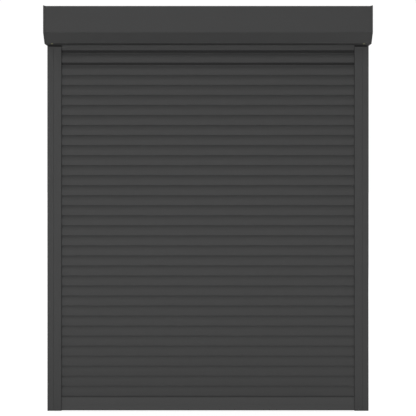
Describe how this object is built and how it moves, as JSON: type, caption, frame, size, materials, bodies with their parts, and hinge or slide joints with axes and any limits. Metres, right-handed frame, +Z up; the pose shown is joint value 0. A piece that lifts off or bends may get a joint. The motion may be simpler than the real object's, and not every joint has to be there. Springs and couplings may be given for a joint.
{
  "type": "exterior roller shutter",
  "caption": "Front-mounted exterior roller shutter with a 45 degree aluminium box, guide rails, a slatted curtain and a tubular motor on an octagonal shaft.",
  "frame": {"origin": "middle of the width and depth, on the sill that the rails and the closed curtain stand on", "axes": "+X to the right seen from the street, +Y towards the wall that carries the shutter, +Z up"},
  "size_m": [1.2, 0.137, 1.5],
  "materials": {
    "cap_coating": "satin",
    "sheet_coating": "satin",
    "rail_coating": "satin",
    "slat_coating": "satin",
    "bar_coating": "satin",
    "rivet_coating": "satin",
    "seal_black": "matte",
    "guide_plastic": "matte",
    "screw_zinc": "satin",
    "motor_paint": "satin",
    "motor_plastic": "matte",
    "gear_plastic": "matte",
    "galvanised_steel": "satin",
    "spring_steel": "satin",
    "bearing_steel": "polished"
  },
  "bodies": {
    "frame": {"end_cap_left": "cap_coating", "end_cap_right": "cap_coating", "rear_panel": "sheet_coating", "top_front_panel": "sheet_coating", "inspection_cover": "sheet_coating", "guide_rail_left": "rail_coating", "guide_rail_right": "rail_coating", "rail_seals": "seal_black", "inlet_guides": "guide_plastic", "cover_screws": "screw_zinc", "panel_rivets": "rivet_coating", "motor_tube": "motor_paint", "motor_head": "motor_plastic", "motor_bracket": "galvanised_steel", "bearing_outer_ring": "bearing_steel"},
    "shaft": {"drive_wheel": "gear_plastic", "crown_ring": "gear_plastic", "octagonal_shaft": "galvanised_steel", "idler_capsule": "gear_plastic", "idler_pin": "bearing_steel", "bearing_inner_ring": "bearing_steel", "bearing_balls": "bearing_steel", "hanger_straps": "spring_steel"},
    "bottom_bar_unit": {"bottom_bar": "bar_coating", "bottom_seal": "seal_black"},
    "slat_01": {"slat_01": "slat_coating"},
    "slat_02": {"slat_02": "slat_coating"},
    "slat_03": {"slat_03": "slat_coating"},
    "slat_04": {"slat_04": "slat_coating"},
    "slat_05": {"slat_05": "slat_coating"},
    "slat_06": {"slat_06": "slat_coating"},
    "slat_07": {"slat_07": "slat_coating"},
    "slat_08": {"slat_08": "slat_coating"},
    "slat_09": {"slat_09": "slat_coating"},
    "slat_10": {"slat_10": "slat_coating"},
    "slat_11": {"slat_11": "slat_coating"},
    "slat_12": {"slat_12": "slat_coating"},
    "slat_13": {"slat_13": "slat_coating"},
    "slat_14": {"slat_14": "slat_coating"},
    "slat_15": {"slat_15": "slat_coating"},
    "slat_16": {"slat_16": "slat_coating"},
    "slat_17": {"slat_17": "slat_coating"},
    "slat_18": {"slat_18": "slat_coating"},
    "slat_19": {"slat_19": "slat_coating"},
    "slat_20": {"slat_20": "slat_coating"},
    "slat_21": {"slat_21": "slat_coating"},
    "slat_22": {"slat_22": "slat_coating"},
    "slat_23": {"slat_23": "slat_coating"},
    "slat_24": {"slat_24": "slat_coating"},
    "slat_25": {"slat_25": "slat_coating"},
    "slat_26": {"slat_26": "slat_coating"},
    "slat_27": {"slat_27": "slat_coating"},
    "slat_28": {"slat_28": "slat_coating"},
    "slat_29": {"slat_29": "slat_coating"},
    "slat_30": {"slat_30": "slat_coating"},
    "slat_31": {"slat_31": "slat_coating"},
    "slat_32": {"slat_32": "slat_coating"},
    "slat_33": {"slat_33": "slat_coating"},
    "slat_34": {"slat_34": "slat_coating"},
    "slat_35": {"slat_35": "slat_coating"}
  },
  "joints": [
    {"name": "curtain_lift", "type": "slide", "parent": "frame", "child": "bottom_bar_unit", "axis": [0, 0, 1], "range_m": [0, 1.345], "deforming": ["slat_01", "slat_02", "slat_03", "slat_04", "slat_05", "slat_06", "slat_07", "slat_08", "slat_09", "slat_10", "slat_11", "slat_12", "slat_13", "slat_14", "slat_15", "slat_16", "slat_17", "slat_18", "slat_19", "slat_20", "slat_21", "slat_22", "slat_23", "slat_24", "slat_25", "slat_26", "slat_27", "slat_28", "slat_29", "slat_30", "slat_31", "slat_32", "slat_33", "slat_34", "slat_35"]},
    {"name": "slat_01_lift", "type": "slide", "parent": "frame", "child": "slat_01", "axis": [0, 0, 1], "range_m": [0, 1.3451]},
    {"name": "slat_02_lift", "type": "slide", "parent": "frame", "child": "slat_02", "axis": [0, 0, 1], "range_m": [0, 1.3084]},
    {"name": "slat_03_lift", "type": "slide", "parent": "frame", "child": "slat_03", "axis": [0, 0, 1], "range_m": [0, 1.2717]},
    {"name": "slat_04_lift", "type": "slide", "parent": "frame", "child": "slat_04", "axis": [0, 0, 1], "range_m": [0, 1.2349]},
    {"name": "slat_05_lift", "type": "slide", "parent": "frame", "child": "slat_05", "axis": [0, 0, 1], "range_m": [0, 1.1982]},
    {"name": "slat_06_lift", "type": "slide", "parent": "frame", "child": "slat_06", "axis": [0, 0, 1], "range_m": [0, 1.1615]},
    {"name": "slat_07_lift", "type": "slide", "parent": "frame", "child": "slat_07", "axis": [0, 0, 1], "range_m": [0, 1.1248]},
    {"name": "slat_08_lift", "type": "slide", "parent": "frame", "child": "slat_08", "axis": [0, 0, 1], "range_m": [0, 1.0881]},
    {"name": "slat_09_lift", "type": "slide", "parent": "frame", "child": "slat_09", "axis": [0, 0, 1], "range_m": [0, 1.0514]},
    {"name": "slat_10_lift", "type": "slide", "parent": "frame", "child": "slat_10", "axis": [0, 0, 1], "range_m": [0, 1.0146]},
    {"name": "slat_11_lift", "type": "slide", "parent": "frame", "child": "slat_11", "axis": [0, 0, 1], "range_m": [0, 0.9779]},
    {"name": "slat_12_lift", "type": "slide", "parent": "frame", "child": "slat_12", "axis": [0, 0, 1], "range_m": [0, 0.9412]},
    {"name": "slat_13_lift", "type": "slide", "parent": "frame", "child": "slat_13", "axis": [0, 0, 1], "range_m": [0, 0.9045]},
    {"name": "slat_14_lift", "type": "slide", "parent": "frame", "child": "slat_14", "axis": [0, 0, 1], "range_m": [0, 0.8678]},
    {"name": "slat_15_lift", "type": "slide", "parent": "frame", "child": "slat_15", "axis": [0, 0, 1], "range_m": [0, 0.8311]},
    {"name": "slat_16_lift", "type": "slide", "parent": "frame", "child": "slat_16", "axis": [0, 0, 1], "range_m": [0, 0.7943]},
    {"name": "slat_17_lift", "type": "slide", "parent": "frame", "child": "slat_17", "axis": [0, 0, 1], "range_m": [0, 0.7576]},
    {"name": "slat_18_lift", "type": "slide", "parent": "frame", "child": "slat_18", "axis": [0, 0, 1], "range_m": [0, 0.7209]},
    {"name": "slat_19_lift", "type": "slide", "parent": "frame", "child": "slat_19", "axis": [0, 0, 1], "range_m": [0, 0.6842]},
    {"name": "slat_20_lift", "type": "slide", "parent": "frame", "child": "slat_20", "axis": [0, 0, 1], "range_m": [0, 0.6475]},
    {"name": "slat_21_lift", "type": "slide", "parent": "frame", "child": "slat_21", "axis": [0, 0, 1], "range_m": [0, 0.6107]},
    {"name": "slat_22_lift", "type": "slide", "parent": "frame", "child": "slat_22", "axis": [0, 0, 1], "range_m": [0, 0.574]},
    {"name": "slat_23_lift", "type": "slide", "parent": "frame", "child": "slat_23", "axis": [0, 0, 1], "range_m": [0, 0.5373]},
    {"name": "slat_24_lift", "type": "slide", "parent": "frame", "child": "slat_24", "axis": [0, 0, 1], "range_m": [0, 0.5006]},
    {"name": "slat_25_lift", "type": "slide", "parent": "frame", "child": "slat_25", "axis": [0, 0, 1], "range_m": [0, 0.4639]},
    {"name": "slat_26_lift", "type": "slide", "parent": "frame", "child": "slat_26", "axis": [0, 0, 1], "range_m": [0, 0.4272]},
    {"name": "slat_27_lift", "type": "slide", "parent": "frame", "child": "slat_27", "axis": [0, 0, 1], "range_m": [0, 0.3904]},
    {"name": "slat_28_lift", "type": "slide", "parent": "frame", "child": "slat_28", "axis": [0, 0, 1], "range_m": [0, 0.3537]},
    {"name": "slat_29_lift", "type": "slide", "parent": "frame", "child": "slat_29", "axis": [0, 0, 1], "range_m": [0, 0.317]},
    {"name": "slat_30_lift", "type": "slide", "parent": "frame", "child": "slat_30", "axis": [0, 0, 1], "range_m": [0, 0.2803]},
    {"name": "slat_31_lift", "type": "slide", "parent": "frame", "child": "slat_31", "axis": [0, 0, 1], "range_m": [0, 0.2436]},
    {"name": "slat_32_lift", "type": "slide", "parent": "frame", "child": "slat_32", "axis": [0, 0, 1], "range_m": [0, 0.2069]},
    {"name": "slat_33_lift", "type": "slide", "parent": "frame", "child": "slat_33", "axis": [0, 0, 1], "range_m": [0, 0.1701]},
    {"name": "slat_34_lift", "type": "slide", "parent": "frame", "child": "slat_34", "axis": [0, 0, 1], "range_m": [0, 0.1334]},
    {"name": "slat_35_lift", "type": "slide", "parent": "frame", "child": "slat_35", "axis": [0, 0, 1], "range_m": [0, 0.0967]},
    {"name": "shaft_turn", "type": "hinge", "parent": "frame", "child": "shaft", "pos_m": [0, 0, 1.4315], "axis": [1, 0, 0], "range_deg": [0, 1800], "deforming": ["hanger_straps"]}
  ],
  "couplings": [
    {"joint": "slat_01_lift", "follows": "curtain_lift", "ratio": 1},
    {"joint": "slat_02_lift", "follows": "curtain_lift", "ratio": 0.9727},
    {"joint": "slat_03_lift", "follows": "curtain_lift", "ratio": 0.9454},
    {"joint": "slat_04_lift", "follows": "curtain_lift", "ratio": 0.9181},
    {"joint": "slat_05_lift", "follows": "curtain_lift", "ratio": 0.8908},
    {"joint": "slat_06_lift", "follows": "curtain_lift", "ratio": 0.8635},
    {"joint": "slat_07_lift", "follows": "curtain_lift", "ratio": 0.8362},
    {"joint": "slat_08_lift", "follows": "curtain_lift", "ratio": 0.8089},
    {"joint": "slat_09_lift", "follows": "curtain_lift", "ratio": 0.7816},
    {"joint": "slat_10_lift", "follows": "curtain_lift", "ratio": 0.75431},
    {"joint": "slat_11_lift", "follows": "curtain_lift", "ratio": 0.72701},
    {"joint": "slat_12_lift", "follows": "curtain_lift", "ratio": 0.69971},
    {"joint": "slat_13_lift", "follows": "curtain_lift", "ratio": 0.67241},
    {"joint": "slat_14_lift", "follows": "curtain_lift", "ratio": 0.64511},
    {"joint": "slat_15_lift", "follows": "curtain_lift", "ratio": 0.61781},
    {"joint": "slat_16_lift", "follows": "curtain_lift", "ratio": 0.59051},
    {"joint": "slat_17_lift", "follows": "curtain_lift", "ratio": 0.56321},
    {"joint": "slat_18_lift", "follows": "curtain_lift", "ratio": 0.53591},
    {"joint": "slat_19_lift", "follows": "curtain_lift", "ratio": 0.50861},
    {"joint": "slat_20_lift", "follows": "curtain_lift", "ratio": 0.48131},
    {"joint": "slat_21_lift", "follows": "curtain_lift", "ratio": 0.45401},
    {"joint": "slat_22_lift", "follows": "curtain_lift", "ratio": 0.42671},
    {"joint": "slat_23_lift", "follows": "curtain_lift", "ratio": 0.39941},
    {"joint": "slat_24_lift", "follows": "curtain_lift", "ratio": 0.37211},
    {"joint": "slat_25_lift", "follows": "curtain_lift", "ratio": 0.34481},
    {"joint": "slat_26_lift", "follows": "curtain_lift", "ratio": 0.31752},
    {"joint": "slat_27_lift", "follows": "curtain_lift", "ratio": 0.29022},
    {"joint": "slat_28_lift", "follows": "curtain_lift", "ratio": 0.26292},
    {"joint": "slat_29_lift", "follows": "curtain_lift", "ratio": 0.23562},
    {"joint": "slat_30_lift", "follows": "curtain_lift", "ratio": 0.20832},
    {"joint": "slat_31_lift", "follows": "curtain_lift", "ratio": 0.18102},
    {"joint": "slat_32_lift", "follows": "curtain_lift", "ratio": 0.15372},
    {"joint": "slat_33_lift", "follows": "curtain_lift", "ratio": 0.12642},
    {"joint": "slat_34_lift", "follows": "curtain_lift", "ratio": 0.099121},
    {"joint": "slat_35_lift", "follows": "curtain_lift", "ratio": 0.071822},
    {"joint": "shaft_turn", "follows": "curtain_lift", "rad_per_m": 23.357}
  ]
}
